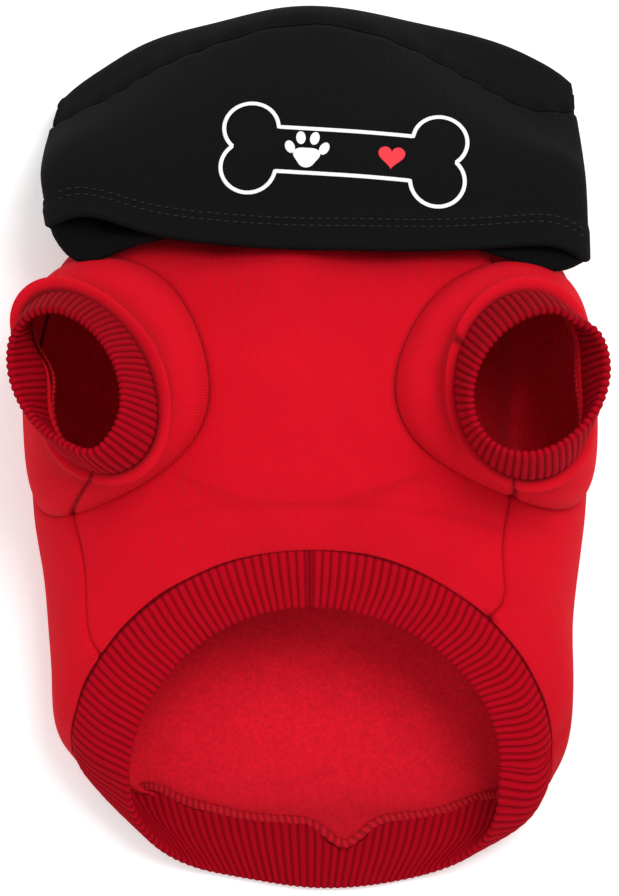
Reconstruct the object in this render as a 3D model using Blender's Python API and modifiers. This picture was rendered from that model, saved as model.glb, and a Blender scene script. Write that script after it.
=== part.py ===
# Hooded dog jacket, lying on its back with the belly side up.
#
# The jacket is one tube of cloth, drawn as closed loops round it: neck, shoulder, legs, waist, band.
# A place on the tube is an angle round the loop (0 is the middle of the belly, +90 the wearer's side
# at +X, 180 the middle of the back on the floor) and a station along it. The hood carries on past the
# neck, lies flat to its crown and folds forward over the chest. Each cut piece is a wall of its own.
#
# Metres, +Z up, +Y towards the hood, z = 0 is the surface that the back lies on.

import bmesh
import bpy
from math import cos, exp, pi, radians, sin
from mathutils import Vector

# Driving sizes
BODY_WIDTH = 0.222        # across the body at the front legs
TORSO_LENGTH = 0.237      # neck seam to the waist seam, along the back
CHEST_HEIGHT = 0.072      # floor to the middle of the chest
HOOD_WIDTH = 0.216        # across the hood where it folds
HOOD_LENGTH = 0.098       # neck seam to the crown
HOOD_HEIGHT = 0.062       # floor to the top of the hood's front hem
NECK_LINE = 0.090         # where the neck seam lies along Y
SLEEVE_RISE = 0.084       # floor to the seam between sleeve and cuff
SLEEVE_SEAM_WIDTH = 0.060  # across the seam between sleeve and cuff
CUFF_LENGTH = 0.020
BAND_HEM_WIDTH = 0.151    # across the waistband's free edge

# Cloth
FLEECE = 0.0024
JERSEY = 0.0020
RIB_KNIT = 0.0028         # folded double
RIB_RELIEF = 0.0004
RIB_PITCH = 0.006
SEAM_GAP = 0.0005         # between two cut edges

# Where the belly panel's side seams run round the tube, in degrees
LEFT_SEAM = -61.0
RIGHT_SEAM = 50.0
HOOD_OPENING = 40.0       # the hood is open this far to both sides of the throat

# Loops of the body. Along Y: shares of TORSO_LENGTH behind the neck line, at the belly, both sides
# and the back. Across: shares of half the BODY_WIDTH. Up: shares of CHEST_HEIGHT.
LOOP_COLUMNS = ("name", "y_front", "y_left", "y_right", "y_back", "x_left", "x_right",
                "z_front", "z_side", "z_back", "peak", "peak_left", "peak_right", "round")
BODY_LOOPS = (
    ("neck", 0.00, 0.00, 0.00, -0.05, 0.68, 0.68, 0.53, 0.28, -0.10, 1.0, 1.0, 1.0, 2.2),
    ("shoulder", 0.075, 0.060, 0.060, 0.01, 0.90, 0.91, 0.76, 0.36, -0.14, 1.0, 1.0, 1.0, 2.2),
    ("leg", 0.276, 0.262, 0.262, 0.245, 1.015, 1.01, 0.99, 0.40, -0.16, 1.0, 1.0, 1.0, 2.2),
    ("underarm", 0.42, 0.47, 0.46, 0.52, 0.985, 0.985, 1.00, 0.38, -0.16, 1.0, 1.0, 1.0, 2.3),
    ("loin", 0.505, 0.645, 0.645, 0.775, 0.92, 0.930, 0.96, 0.37, -0.16, 1.05, 0.9, 0.8, 2.4),
    ("hip", 0.545, 0.810, 0.810, 0.945, 0.900, 0.935, 0.91, 0.37, -0.16, 1.10, 0.8, 0.6, 2.4),
    ("waist", 0.560, 0.868, 0.875, 1.00, 0.850, 0.865, 0.88, 0.42, -0.14, 1.15, 0.85, 0.38, 2.4),
)

# The waistband carries on from the waist loop. Along Y: shares of TORSO_LENGTH. Across: shares of
# half the BAND_HEM_WIDTH. Up: shares of CHEST_HEIGHT.
BAND_LOOPS = (
    ("middle", 0.605, 0.905, 0.900, 1.055, 1.12, 1.18, 0.80, 0.45, -0.10, 1.12, 0.92, 0.36, 2.3),
    ("edge", 0.650, 0.935, 0.905, 1.112, 0.96, 1.01, 0.71, 0.48, -0.04, 1.08, 0.85, 0.50, 2.2),
)

# Loops of the hood, from the neck to the crown and back over it to the hem. Along Y: shares of
# HOOD_LENGTH behind the neck line. Across: shares of half the HOOD_WIDTH. Up: shares of HOOD_HEIGHT.
HOOD_LOOPS = (
    ("nape", 0.00, -0.20, -0.20, -0.42, 0.68, 0.70, 0.56, 0.13, -0.12, 1.0, 1.0, 1.0, 2.3),
    ("back", 0.01, -0.38, -0.38, -0.76, 0.84, 0.88, 0.48, 0.10, -0.12, 1.1, 1.1, 1.1, 2.3),
    ("crown", 0.03, -0.60, -0.66, -1.00, 0.93, 0.975, 0.34, 0.18, 0.16, 1.5, 1.6, 1.45, 2.3),
    ("seam", 0.04, -0.43, -0.50, -0.905, 0.96, 0.99, 0.43, 0.42, 0.42, 1.3, 2.6, 2.8, 2.6),
    ("face", 0.05, -0.22, -0.22, -0.40, 0.99, 1.02, 0.64, 0.66, 0.80, 1.2, 1.2, 1.2, 3.0),
    ("hem", 0.06, -0.04, 0.03, 0.145, 0.965, 1.025, 0.90, 0.79, 0.98, 1.0, 1.0, 1.0, 3.0),
)
CROWN_SEAM = 4            # the hood's two panels meet at the fourth loop after the neck

# Leg holes: centre and half size on the tube, degrees round it and stations along it
HOLE_COLUMNS = ("name", "angle", "half_angle", "station", "half_length")
LEG_HOLES = (
    ("left", -57.0, 36.0, 2.14, 1.20),
    ("right", 56.0, 38.0, 2.14, 1.15),
)

# The oval rings of the sleeves: the seam that joins the cuff, and the cuff's free edge. Places are
# shares of BODY_WIDTH across and of TORSO_LENGTH behind the neck line, width and length shares of
# SLEEVE_SEAM_WIDTH. The lean of a ring's axis and the turn of the oval are in degrees.
RING_COLUMNS = ("name", "x", "y", "width", "length", "lean_x", "lean_y", "turn")
CUFF_SEAMS = (
    ("left", -0.396, 0.297, 0.84, 1.33, -18.0, 4.0, 32.0),
    ("right", 0.389, 0.302, 0.98, 1.24, 12.0, 4.0, -4.0),
)
CUFF_EDGES = (
    ("left", -0.421, 0.303, 0.67, 1.00, -20.0, 3.0, 34.0),
    ("right", 0.397, 0.310, 0.80, 1.03, 8.0, 3.0, -38.0),
)

# Folds of the cloth. Place: degrees round the tube and stations along it (the hood's stations count
# on from its neck). Spread along both, as sigmas, and depth as a share of the cloth's thickness.
FOLD_COLUMNS = ("piece", "angle", "station", "wide", "long", "slant", "depth")
FOLDS = (
    ("body", -8.0, 1.15, 30.0, 0.12, 0.0, 0.9),
    ("body", 10.0, 1.75, 6.0, 0.55, 3.0, -0.8),
    ("body", -14.0, 3.3, 5.0, 0.60, -4.0, 0.7),
    ("body", 22.0, 3.9, 6.0, 0.70, 4.0, 0.8),
    ("body", -38.0, 4.3, 7.0, 0.80, -3.0, -0.9),
    ("body", -96.0, 4.2, 7.0, 0.8, 0.0, 1.0),
    ("body", 98.0, 3.8, 7.0, 0.8, 0.0, 1.0),
    ("hood", 128.0, 4.6, 8.0, 0.9, 6.0, 1.0),
    ("hood", -132.0, 4.4, 8.0, 0.9, -6.0, 1.0),
    ("hood", 168.0, 5.6, 9.0, 0.5, 4.0, -0.8),
    ("hood", -160.0, 5.5, 8.0, 0.6, -5.0, 0.7),
)
WAIST_GATHERS = 22        # soft puckers where the fleece is drawn in to the band
GATHER_DEPTH = 0.5        # share of FLEECE
HEM_SAG = 0.15            # the hood's hem drops over the shoulders by this share of HOOD_LENGTH
HEM_SAG_ANGLE = 58.0
HEM_SAG_SPREAD = 13.0
# Where the hem lies higher or lower: degrees round the hood, spread, share of HOOD_LENGTH
HEM_WAVES = (
    (-124.0, 13.0, 0.077),
    (-158.0, 20.0, 0.033),
    (98.0, 11.0, -0.070),
)
SLEEVE_FOLDS = 2.0        # ring folds along each sleeve
SLEEVE_FOLD_DEPTH = 0.6   # share of FLEECE
SLEEVE_START = 0.4        # how strongly a sleeve leaves the body at right angles to it
SLEEVE_END = 0.5          # how strongly it turns into the cuff's cone

# Colours, roughness
RED_FLEECE = (0.69, 0.008, 0.016)
RED_RIB = (0.39, 0.004, 0.010)
BLACK_JERSEY = (0.010, 0.010, 0.011)

TURN = 2.0 * pi


def smooth(values, station):
    """The value at a station along a list, on a smooth curve through it."""
    last = len(values) - 1
    index = min(max(int(station), 0), last - 1)
    part = station - index
    here = values[index]
    ahead = values[index + 1]
    before = values[index - 1] if index > 0 else 2.0 * here - ahead
    after = values[index + 2] if index + 2 <= last else 2.0 * ahead - here
    slope_here = 0.5 * (ahead - before)
    slope_ahead = 0.5 * (after - here)
    square = part * part
    cube = square * part
    return ((2.0 * cube - 3.0 * square + 1.0) * here + (cube - 2.0 * square + part) * slope_here
            + (3.0 * square - 2.0 * cube) * ahead + (cube - square) * slope_ahead)


def named_loop(row, length, width, height):
    """One loop with its shares turned into metres."""
    loop = dict(zip(LOOP_COLUMNS, row))
    for key in ("y_front", "y_left", "y_right", "y_back"):
        loop[key] = NECK_LINE - loop[key] * length
    for key in ("x_left", "x_right"):
        loop[key] = loop[key] * 0.5 * width
    for key in ("z_front", "z_side", "z_back"):
        loop[key] = loop[key] * height
    return loop


BODY = [named_loop(row, TORSO_LENGTH, BODY_WIDTH, CHEST_HEIGHT) for row in BODY_LOOPS]
BAND = [BODY[-1]] + [named_loop(row, TORSO_LENGTH, BAND_HEM_WIDTH, CHEST_HEIGHT) for row in BAND_LOOPS]
HOOD = [BODY[0]] + [named_loop(row, HOOD_LENGTH, HOOD_WIDTH, HOOD_HEIGHT) for row in HOOD_LOOPS]


def place(loops, angle, station, wall):
    """The middle of the wall at an angle (degrees) round the tube and a station along it."""
    across = sin(radians(angle))
    along = cos(radians(angle))
    side = "x_right" if across > 0.0 else "x_left"
    x = across * smooth([loop[side] for loop in loops], station)
    right = 0.5 + 0.5 * across
    y_side = smooth([loop["y_left"] * (1.0 - right) + loop["y_right"] * right for loop in loops], station)
    z_side = smooth([loop["z_side"] for loop in loops], station)
    end = "front" if along > 0.0 else "back"
    y_end = smooth([loop["y_" + end] for loop in loops], station)
    z_end = smooth([loop["z_" + end] for loop in loops], station)
    peaks = [loop["peak"] for loop in loops]
    if along < 0.0:
        peaks = [loop["peak_left"] * (1.0 - right) + loop["peak_right"] * right for loop in loops]
    peak = smooth(peaks, station)
    roundness = smooth([loop["round"] for loop in loops], station)
    y = y_side + (y_end - y_side) * abs(along) ** peak
    z = z_side + (z_end - z_side) * abs(along) ** (2.0 / roundness)
    return Vector((x, y, max(z, 0.5 * wall)))


def bump(distance, spread):
    return exp(-0.5 * (distance / spread) ** 2)


def turned(angle, other):
    """The shortest way round from one angle to another, in degrees."""
    return (angle - other + 180.0) % 360.0 - 180.0


def outward(surface, angle, station):
    """The normal of the tube, pointing out of it."""
    step_angle = 1.0
    step_station = 0.02
    round_it = surface(angle + step_angle, station) - surface(angle - step_angle, station)
    along_it = surface(angle, station + step_station) - surface(angle, station - step_station)
    return along_it.cross(round_it).normalized()


def fold_height(piece, angle, station):
    """How far the named piece's folds lift its wall, as a share of the wall."""
    height = 0.0
    for row in FOLDS:
        fold = dict(zip(FOLD_COLUMNS, row))
        if fold["piece"] == piece:
            away = station - fold["station"]
            aside = turned(angle, fold["angle"] + fold["slant"] * away)
            height += fold["depth"] * bump(aside, fold["wide"]) * bump(away, fold["long"])
    return height


def body_surface(angle, station):
    return place(BODY, angle, station, FLEECE)


def body_wall(angle, station):
    """The body with its folds and the puckers above the waistband."""
    point = body_surface(angle, station)
    height = fold_height("body", angle, station)
    near_waist = max(0.0, 1.0 - (len(BODY) - 1 - station) / 0.7)
    height += GATHER_DEPTH * near_waist * sin(WAIST_GATHERS * radians(angle))
    point += outward(body_surface, angle, station) * height * FLEECE
    point.z = max(point.z, 0.5 * FLEECE)
    return point


def hood_surface(angle, station):
    point = place(HOOD, angle, station, JERSEY)
    hem = max(0.0, station - (len(HOOD) - 2))
    drop = bump(turned(angle, HEM_SAG_ANGLE), HEM_SAG_SPREAD)
    drop += bump(turned(angle, -HEM_SAG_ANGLE), HEM_SAG_SPREAD)
    rise = sum(share * bump(turned(angle, middle), spread) for middle, spread, share in HEM_WAVES)
    point.y += (rise - HEM_SAG * drop) * HOOD_LENGTH * hem * hem
    return point


def hood_wall(angle, station):
    point = hood_surface(angle, station)
    point += outward(hood_surface, angle, station) * fold_height("hood", angle, station) * JERSEY
    point.z = max(point.z, 0.5 * JERSEY)
    return point


def band_surface(angle, station):
    return place(BAND, angle, station, RIB_KNIT + RIB_RELIEF)


def material(name, colour, roughness):
    made = bpy.data.materials.new(name)
    made.use_nodes = True
    shader = made.node_tree.nodes["Principled BSDF"]
    shader.inputs["Base Color"].default_value = (*colour, 1.0)
    shader.inputs["Roughness"].default_value = roughness
    shader.inputs["Metallic"].default_value = 0.0
    return made


def collection(name):
    made = bpy.data.collections.new(name)
    bpy.context.scene.collection.children.link(made)
    return made


def grid(name, columns, rows, shape, closed, home, finish):
    """A sheet of columns by rows, each corner put in place by shape(share round, share along)."""
    sheet = bmesh.new()
    bmesh.ops.create_grid(sheet, x_segments=columns, y_segments=rows, size=0.5)
    for vertex in sheet.verts:
        vertex.co = shape(vertex.co.x + 0.5, vertex.co.y + 0.5)
    if closed:
        bmesh.ops.remove_doubles(sheet, verts=sheet.verts, dist=0.00001)
    bmesh.ops.recalc_face_normals(sheet, faces=sheet.faces)
    mesh = bpy.data.meshes.new(name)
    sheet.to_mesh(mesh)
    sheet.free()
    made = bpy.data.objects.new(name, mesh)
    mesh.shade_smooth()
    if finish is not None:
        mesh.materials.append(finish)
    home.objects.link(made)
    return made


def thicken(item, wall):
    """Gives a sheet its wall, half of it to each side."""
    solidify = item.modifiers.new("wall", "SOLIDIFY")
    solidify.thickness = wall
    solidify.offset = 0.0
    solidify.use_even_offset = False
    return item


def leg_hole(hole, turn):
    """A point of a leg hole's edge, the tube's normal there and the way out of the hole."""
    def at(swing):
        return (hole["angle"] + hole["half_angle"] * cos(swing),
                hole["station"] - hole["half_length"] * sin(swing))
    step = 0.02
    point = body_surface(*at(turn))
    normal = outward(body_surface, *at(turn))
    along = body_surface(*at(turn + step)) - body_surface(*at(turn - step))
    return point, normal, along.cross(normal).normalized()


def cutter(hole, cutters):
    """A plug through the body's wall, a little larger than the leg hole."""
    reach = 4.0 * FLEECE
    growth = 0.5 * FLEECE + SEAM_GAP
    around = 48
    rims = [leg_hole(hole, TURN * step / around) for step in range(around)]
    middle = sum((point for point, normal, out in rims), Vector()) / around
    lift = outward(body_surface, hole["angle"], hole["station"])
    plug = bmesh.new()
    bmesh.ops.create_cone(plug, cap_ends=True, cap_tris=True, segments=around, radius1=1.0, radius2=1.0,
                          depth=2.0)
    for vertex in plug.verts:
        side = 1.0 if vertex.co.z > 0.0 else -1.0
        if vertex.co.xy.length < 0.5:
            vertex.co = middle + lift * (3.5 * reach if side > 0.0 else -0.8 * reach)
        else:
            turn = vertex.co.xy.angle_signed(Vector((1.0, 0.0)))
            point, normal, out = leg_hole(hole, turn)
            vertex.co = point + out * growth + normal * side * reach
    mesh = bpy.data.meshes.new("leg_plug_" + hole["name"])
    plug.to_mesh(mesh)
    plug.free()
    made = bpy.data.objects.new(mesh.name, mesh)
    made.hide_render = True
    made.display_type = "WIRE"
    cutters.objects.link(made)
    return made


def cut(item, tool):
    boolean = item.modifiers.new("leg hole", "BOOLEAN")
    boolean.operation = "DIFFERENCE"
    boolean.solver = "EXACT"
    boolean.object = tool


def ring_point(row, height, turn, rise=0.0):
    """A point of an oval ring at a turn round it, and the ring's centre, both lifted along its axis."""
    ring = dict(zip(RING_COLUMNS, row))
    axis = Vector((sin(radians(ring["lean_x"])), sin(radians(ring["lean_y"])), 1.0)).normalized()
    centre = Vector((ring["x"] * BODY_WIDTH, NECK_LINE - ring["y"] * TORSO_LENGTH, height)) + axis * rise
    along_x = (Vector((1.0, 0.0, 0.0)) - axis * axis.x).normalized()
    along_y = axis.cross(along_x)
    swing = radians(ring["turn"])
    wide = 0.5 * SLEEVE_SEAM_WIDTH * ring["width"] * cos(turn - swing)
    tall = 0.5 * SLEEVE_SEAM_WIDTH * ring["length"] * sin(turn - swing)
    flat_x = wide * cos(swing) - tall * sin(swing)
    flat_y = wide * sin(swing) + tall * cos(swing)
    return centre + along_x * flat_x + along_y * flat_y, centre


def make_body(home, finish, plugs):
    """The belly panel between the side seams, and the back panel round the rest."""
    last = len(BODY) - 1
    inset = 2.0 * SEAM_GAP / (TORSO_LENGTH / last)
    gap = 360.0 * SEAM_GAP / (pi * 0.8 * BODY_WIDTH)

    def panel(name, start, end, columns):
        def shape(across, along):
            return body_wall(start + gap + across * (end - start - 2.0 * gap),
                             inset + along * (last - 2.0 * inset))
        made = thicken(grid(name, columns, 18, shape, False, home, finish), FLEECE)
        for plug in plugs:
            cut(made, plug)

    panel("belly_panel", LEFT_SEAM, RIGHT_SEAM, 14)
    panel("back_panel", RIGHT_SEAM, LEFT_SEAM + 360.0, 26)


def make_waistband(home, finish):
    """The ribbed band round the slanted waist."""
    girth = pi * (0.25 * (BODY_WIDTH + BAND_HEM_WIDTH) + 0.20 * TORSO_LENGTH)
    ribs = round(girth / RIB_PITCH)
    start = SEAM_GAP / (0.026 * TORSO_LENGTH)

    def shape(across, along):
        angle = 360.0 * across
        station = start + along * (len(BAND) - 1 - start)
        ridge = cos(2.0 * pi * ribs * across) * 0.5 * RIB_RELIEF
        point = band_surface(angle, station) + outward(band_surface, angle, station) * ridge
        point.z = max(point.z, 0.5 * (RIB_KNIT + RIB_RELIEF))
        return point

    thicken(grid("waistband", 2 * ribs, 3, shape, True, home, finish), RIB_KNIT)


def make_hood(home, finish):
    """The hood's back panel lies on the floor and turns over the crown to meet the front panel."""
    last = len(HOOD) - 1
    start = 3.0 * SEAM_GAP / (0.2 * HOOD_LENGTH)
    half_gap = SEAM_GAP / (0.13 * HOOD_LENGTH)

    def panel(name, first, final, rows):
        def shape(across, along):
            angle = HOOD_OPENING + across * (360.0 - 2.0 * HOOD_OPENING)
            return hood_wall(angle, first + along * (final - first))
        thicken(grid(name, 28, rows, shape, False, home, finish), JERSEY)

    panel("hood_back_panel", start, CROWN_SEAM - half_gap, 12)
    panel("hood_front_panel", CROWN_SEAM + half_gap, last, 8)


def make_sleeve(hole, seam, edge, home, fleece, rib):
    """A short sleeve from its leg hole up to the cuff, and the ribbed cuff on it."""
    name = hole["name"]

    def cuff_line(turn, along):
        """A point of the cuff's cone between its seam and its free edge."""
        foot = ring_point(seam, SLEEVE_RISE, turn)[0]
        top = ring_point(edge, SLEEVE_RISE + CUFF_LENGTH, turn)[0]
        return foot + (top - foot) * along

    def sleeve_shape(across, along):
        turn = TURN * across
        point, normal, out = leg_hole(hole, turn)
        foot = point - normal * 0.5 * FLEECE
        foot.z = max(foot.z, 0.5 * FLEECE)
        top = cuff_line(turn, -0.5 * SEAM_GAP / CUFF_LENGTH)
        cone = (cuff_line(turn, 1.0) - top).normalized()
        rise = (top - foot).length
        leave = (normal * SLEEVE_START + (top - foot) / rise) * rise
        arrive = cone * SLEEVE_END * rise
        point = (foot * (1.0 - along) ** 2 * (1.0 + 2.0 * along) + top * along ** 2 * (3.0 - 2.0 * along)
                 + leave * along * (1.0 - along) ** 2 - arrive * along ** 2 * (1.0 - along))
        away = point - ring_point(seam, SLEEVE_RISE, turn)[1]
        depth = SLEEVE_FOLD_DEPTH * FLEECE * min(1.0, rise / (0.6 * SLEEVE_RISE))
        bulge = sin(TURN * SLEEVE_FOLDS * along) * sin(pi * along) * depth
        return point + Vector((away.x, away.y, 0.0)).normalized() * bulge

    ribs = round(pi * 1.1 * SLEEVE_SEAM_WIDTH / RIB_PITCH)

    def cuff_shape(across, along):
        turn = TURN * across
        point = cuff_line(turn, (0.5 * SEAM_GAP + (CUFF_LENGTH - 0.5 * SEAM_GAP) * along) / CUFF_LENGTH)
        centre = ring_point(seam, SLEEVE_RISE, turn, CUFF_LENGTH * along)[1]
        return point + (point - centre).normalized() * cos(turn * ribs) * 0.5 * RIB_RELIEF

    thicken(grid("sleeve_" + name, 28, 6, sleeve_shape, True, home, fleece), FLEECE)
    thicken(grid("cuff_" + name, 2 * ribs, 2, cuff_shape, True, home, rib), RIB_KNIT)


def centre_over_origin(home, cutters):
    """Moves the jacket so that the middle of its outline lies over the origin."""
    bpy.context.view_layer.update()
    graph = bpy.context.evaluated_depsgraph_get()
    corners = []
    for item in home.objects:
        mesh = item.evaluated_get(graph).to_mesh()
        corners += [item.matrix_world @ vertex.co for vertex in mesh.vertices]
        item.evaluated_get(graph).to_mesh_clear()
    middle_x = 0.5 * (min(corner.x for corner in corners) + max(corner.x for corner in corners))
    middle_y = 0.5 * (min(corner.y for corner in corners) + max(corner.y for corner in corners))
    for item in list(home.objects) + list(cutters.objects):
        item.location -= Vector((middle_x, middle_y, 0.0))


def main():
    for item in list(bpy.data.objects):
        bpy.data.objects.remove(item, do_unlink=True)
    home = collection("pet_jacket")
    cutters = collection("cutters")
    fleece = material("red_fleece", RED_FLEECE, 0.95)
    rib = material("dark_red_rib", RED_RIB, 0.90)
    jersey = material("black_jersey", BLACK_JERSEY, 0.85)
    holes = [dict(zip(HOLE_COLUMNS, row)) for row in LEG_HOLES]
    plugs = [cutter(hole, cutters) for hole in holes]
    make_body(home, fleece, plugs)
    make_waistband(home, rib)
    make_hood(home, jersey)
    for hole, seam, edge in zip(holes, CUFF_SEAMS, CUFF_EDGES):
        make_sleeve(hole, seam, edge, home, fleece, rib)
    centre_over_origin(home, cutters)


main()
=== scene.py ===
# Dresses the hooded dog jacket: fleece, rib knit, jersey, seams, stitches and the hood's print.
#
# The jacket is one tube of cloth, drawn as closed loops round it. A place on it is an angle round the
# loop (0 is the middle of the belly, +90 the side at +X, 180 the middle of the back, on the floor) and
# a station along it. The hood carries on past the neck, lies flat to its crown and folds forward.

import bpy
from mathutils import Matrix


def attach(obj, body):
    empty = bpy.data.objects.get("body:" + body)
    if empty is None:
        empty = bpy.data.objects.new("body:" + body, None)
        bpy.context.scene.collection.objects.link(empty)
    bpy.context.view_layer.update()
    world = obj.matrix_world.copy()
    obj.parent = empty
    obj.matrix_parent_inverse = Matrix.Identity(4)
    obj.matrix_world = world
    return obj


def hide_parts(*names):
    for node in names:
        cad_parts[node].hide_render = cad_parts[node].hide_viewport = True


bl_info = {
    "name": "Hooded Dog Jacket",
    "version": (1, 0, 0),
    "blender": (4, 5, 0),
    "location": "3D View > Sidebar > Jacket",
    "description": "Builds the cloth, the trims and the studio of a hooded dog jacket",
    "category": "Object",
}

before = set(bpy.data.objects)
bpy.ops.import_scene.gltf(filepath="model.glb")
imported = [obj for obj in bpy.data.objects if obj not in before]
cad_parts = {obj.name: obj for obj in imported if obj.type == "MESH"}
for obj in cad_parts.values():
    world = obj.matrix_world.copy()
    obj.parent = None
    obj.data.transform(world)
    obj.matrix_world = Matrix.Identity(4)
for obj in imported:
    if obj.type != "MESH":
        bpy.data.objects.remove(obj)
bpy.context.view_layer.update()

import bmesh
import bpy
import numpy as np
from math import cos, pi, radians, sin
from mathutils import Matrix, Vector
from mathutils.bvhtree import BVHTree

TURN = 2.0 * pi

# Where the middle of the jacket's outline lies in the loops' own coordinates, in metres
OUTLINE_MIDDLE = np.array((-0.00041, 0.00815, 0.0))

# Loops of the body. Along Y: shares of the torso's length behind the neck line, at the belly, both
# sides and the back. Across: shares of half the body's width. Up: shares of the chest's height.
LOOP_COLUMNS = ("y_front", "y_left", "y_right", "y_back", "x_left", "x_right",
                "z_front", "z_side", "z_back", "peak", "peak_left", "peak_right", "round")
BODY_LOOPS = (
    (0.00, 0.00, 0.00, -0.05, 0.68, 0.68, 0.53, 0.28, -0.10, 1.0, 1.0, 1.0, 2.2),
    (0.075, 0.060, 0.060, 0.01, 0.90, 0.91, 0.76, 0.36, -0.14, 1.0, 1.0, 1.0, 2.2),
    (0.276, 0.262, 0.262, 0.245, 1.015, 1.01, 0.99, 0.40, -0.16, 1.0, 1.0, 1.0, 2.2),
    (0.42, 0.47, 0.46, 0.52, 0.985, 0.985, 1.00, 0.38, -0.16, 1.0, 1.0, 1.0, 2.3),
    (0.505, 0.645, 0.645, 0.775, 0.92, 0.930, 0.96, 0.37, -0.16, 1.05, 0.9, 0.8, 2.4),
    (0.545, 0.810, 0.810, 0.945, 0.900, 0.935, 0.91, 0.37, -0.16, 1.10, 0.8, 0.6, 2.4),
    (0.560, 0.868, 0.875, 1.00, 0.850, 0.865, 0.88, 0.42, -0.14, 1.15, 0.85, 0.38, 2.4),
)
WAIST = len(BODY_LOOPS) - 1

# The waistband carries on from the waist loop. Across: shares of half the band's free edge.
BAND_LOOPS = (
    (0.605, 0.905, 0.900, 1.055, 1.12, 1.18, 0.80, 0.45, -0.10, 1.12, 0.92, 0.36, 2.3),
    (0.650, 0.935, 0.905, 1.112, 0.96, 1.01, 0.71, 0.48, -0.04, 1.08, 0.85, 0.50, 2.2),
)
BAND_END = len(BAND_LOOPS)

# The hood's loops, from the neck to the crown and back over it to the hem: shares of its length,
# half its width and its height.
HOOD_LOOPS = (
    (0.00, -0.20, -0.20, -0.42, 0.68, 0.70, 0.56, 0.13, -0.12, 1.0, 1.0, 1.0, 2.3),
    (0.01, -0.38, -0.38, -0.76, 0.84, 0.88, 0.48, 0.10, -0.12, 1.1, 1.1, 1.1, 2.3),
    (0.03, -0.60, -0.66, -0.99, 0.925, 0.985, 0.34, 0.18, 0.16, 1.5, 1.65, 1.40, 2.3),
    (0.04, -0.46, -0.52, -0.895, 0.975, 1.00, 0.43, 0.36, 0.42, 1.3, 2.2, 4.4, 2.6),
    (0.05, -0.22, -0.22, -0.40, 1.00, 1.02, 0.64, 0.66, 0.80, 1.2, 1.2, 1.2, 3.0),
    (0.06, -0.04, 0.03, 0.145, 0.965, 1.025, 0.90, 0.79, 0.98, 1.0, 1.0, 1.0, 3.0),
)
HOOD_HEM = len(HOOD_LOOPS)
CROWN_SEAM = 4
HOOD_START = 0.05         # where the hood's cloth begins, just past the neck

LEFT_SEAM = -61.0         # degrees round the tube to the belly panel's side seams
RIGHT_SEAM = 47.5
HOOD_OPENING = 34.0       # the hood is open this far to both sides of the throat

# Leg holes: centre and half size, degrees round the tube and stations along it
LEG_HOLES = {
    "left": (-57.0, 36.0, 2.14, 1.20),
    "right": (56.0, 38.0, 2.14, 1.15),
}

# The oval rings of the sleeves: x and y of the centre (shares of the body's width and the torso's
# length), width and length (shares of the sleeve seam's width), lean and turn in degrees.
CUFF_SEAMS = {
    "left": (-0.393, 0.297, 0.82, 1.33, -18.0, 4.0, 32.0),
    "right": (0.387, 0.302, 0.97, 1.24, 12.0, 4.0, -4.0),
}
CUFF_EDGES = {
    "left": (-0.421, 0.303, 0.67, 1.00, -20.0, 3.0, 34.0),
    "right": (0.397, 0.310, 0.80, 1.03, 8.0, 3.0, -38.0),
}

# Where a cuff's seam and free edge are pushed in: degrees round the ring, spread, depth in mm
SEAM_DENTS = {"left": (182.0, 26.0, 12.0), "right": (5.0, 30.0, 8.0)}
EDGE_DENTS = {"left": (285.0, 14.0, -2.5), "right": (60.0, 10.0, 2.2)}

# Underarm seams, and creases where a sleeve is pinched at its cuff: degrees round the ring, depth in m
UNDERARM_SEAMS = {"left": 263.6, "right": 258.0}
PINCHES = {"left": (0.0, 0.0), "right": (155.0, 0.0016)}

SLEEVE_START = 0.4        # how squarely a sleeve leaves its leg hole
SLEEVE_END = 0.5          # how far it follows the cuff's slope

# Folds: degrees round the tube, station, spread along both, slant (degrees a station), height in mm
BODY_FOLDS = (
    (-8.0, 1.15, 30.0, 0.12, 0.0, 2.0),
    (10.0, 1.75, 6.0, 0.55, 3.0, -1.6),
    (-14.0, 3.3, 5.0, 0.60, -4.0, 1.2),
    (22.0, 3.9, 6.0, 0.70, 4.0, 1.3),
    (-38.0, 4.3, 7.0, 0.80, -3.0, -1.6),
    (-96.0, 4.2, 7.0, 0.8, 0.0, 2.4),
    (98.0, 3.8, 7.0, 0.8, 0.0, 2.4),
    (129.0, 2.2, 5.0, 0.8, 6.0, -13.0),
    (-132.0, 5.45, 6.0, 0.30, -12.0, -5.0),
    (-3.0, 0.60, 5.0, 0.35, 0.0, 2.2),
    (-22.0, 0.50, 5.0, 0.35, 0.0, -1.8),
    (18.0, 0.55, 5.0, 0.40, 0.0, -1.8),
)
HOOD_FOLDS = (
    (128.0, 4.6, 8.0, 0.9, 6.0, 2.0),
    (-132.0, 4.4, 8.0, 0.9, -6.0, 2.0),
    (168.0, 5.6, 9.0, 0.5, 4.0, -1.6),
    (-160.0, 5.5, 8.0, 0.6, -5.0, 1.4),
)

# Folds of the sleeves: degrees round the ring, share along the sleeve, spread of both, height in mm
SLEEVE_FOLDS = {
    "left": ((135.0, 0.80, 30.0, 0.25, 3.5), (58.0, 0.58, 24.0, 0.12, -1.8),
             (18.0, 0.72, 22.0, 0.14, 2.0), (-50.0, 0.60, 20.0, 0.14, 1.6),
             (-12.0, 0.42, 24.0, 0.10, -1.6)),
    "right": ((118.0, 0.68, 24.0, 0.12, 2.2), (146.0, 0.44, 18.0, 0.14, -2.0),
              (186.0, 0.60, 24.0, 0.12, 1.8), (218.0, 0.40, 22.0, 0.12, -1.5),
              (60.0, 0.70, 26.0, 0.14, 1.6)),
}

# Rolls and valleys all round a sleeve: share along it, spread, height in mm
SLEEVE_ROLLS = ((0.86, 0.08, 3.4), (0.58, 0.10, -2.4), (0.20, 0.12, 1.0), (1.0, 0.03, -1.6))

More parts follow.
